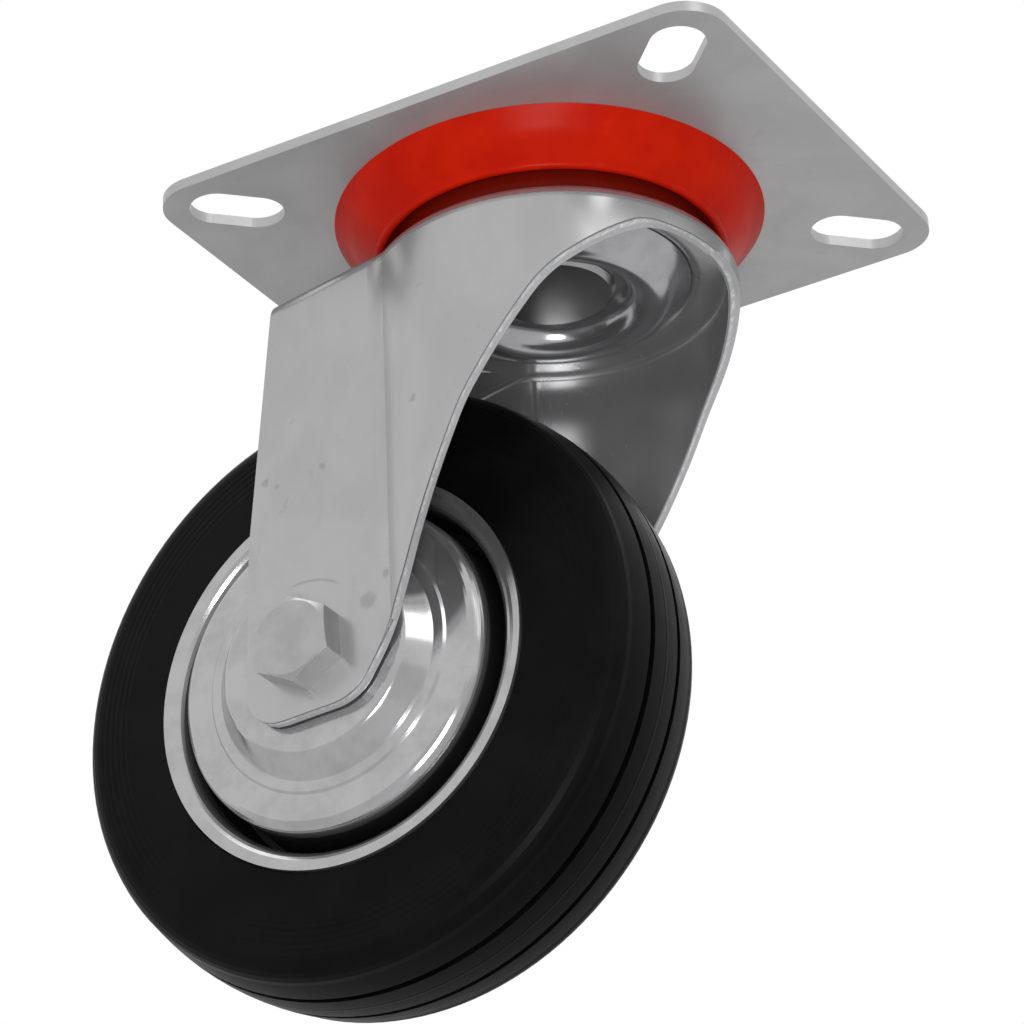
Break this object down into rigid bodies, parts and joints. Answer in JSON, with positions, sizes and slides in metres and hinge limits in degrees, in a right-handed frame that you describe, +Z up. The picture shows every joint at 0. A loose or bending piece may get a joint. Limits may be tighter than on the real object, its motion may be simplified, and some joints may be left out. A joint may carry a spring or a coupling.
{
  "type": "swivel castor",
  "caption": "Plate-mounted swivel castor with a stepped ball-race head, a red dust seal, a pressed steel fork and a rubber-tyred wheel on a through bolt.",
  "frame": {"origin": "centre of the mounting plate's top face, on the swivel axis", "axes": "+Z up out of the plate's top face along the swivel axis, +X along the plate's length away from the trailing wheel, +Y along the plate's width and the wheel's axle"},
  "size_m": [0.1363, 0.084, 0.1315],
  "materials": {
    "zinc_steel": "zinc plated, smooth",
    "bright_steel": "bright zinc plated",
    "rim_steel": "bright zinc plated",
    "red_plastic": "glossy moulded",
    "rubber": "satin",
    "nylon": "satin",
    "cage_plastic": "satin",
    "cap_plastic": "satin"
  },
  "bodies": {
    "plate": {"mounting_plate": "zinc_steel", "dust_seal": "red_plastic", "king_pin": "bright_steel", "lower_race_cup": "zinc_steel", "upper_balls": "bright_steel", "lower_balls": "bright_steel"},
    "fork": {"fork": "zinc_steel", "axle_bolt": "bright_steel", "axle_nut": "bright_steel", "nut_insert": "nylon", "nut_washer": "bright_steel", "axle_sleeve": "bright_steel"},
    "wheel": {"tyre": "rubber", "rim_near": "rim_steel", "rim_far": "rim_steel", "hub_tube": "bright_steel", "bearing_rollers": "bright_steel", "bearing_cage": "cage_plastic", "bearing_cap_near": "cap_plastic", "bearing_cap_far": "cap_plastic"}
  },
  "joints": [
    {"name": "swivel", "type": "hinge", "parent": "plate", "child": "fork", "pos_m": [0, 0, 0], "axis": [0, 0, 1], "continuous": true},
    {"name": "wheel_spin", "type": "hinge", "parent": "fork", "child": "wheel", "pos_m": [-0.03374, 0, -0.08036], "axis": [0, 1, 0], "continuous": true}
  ]
}
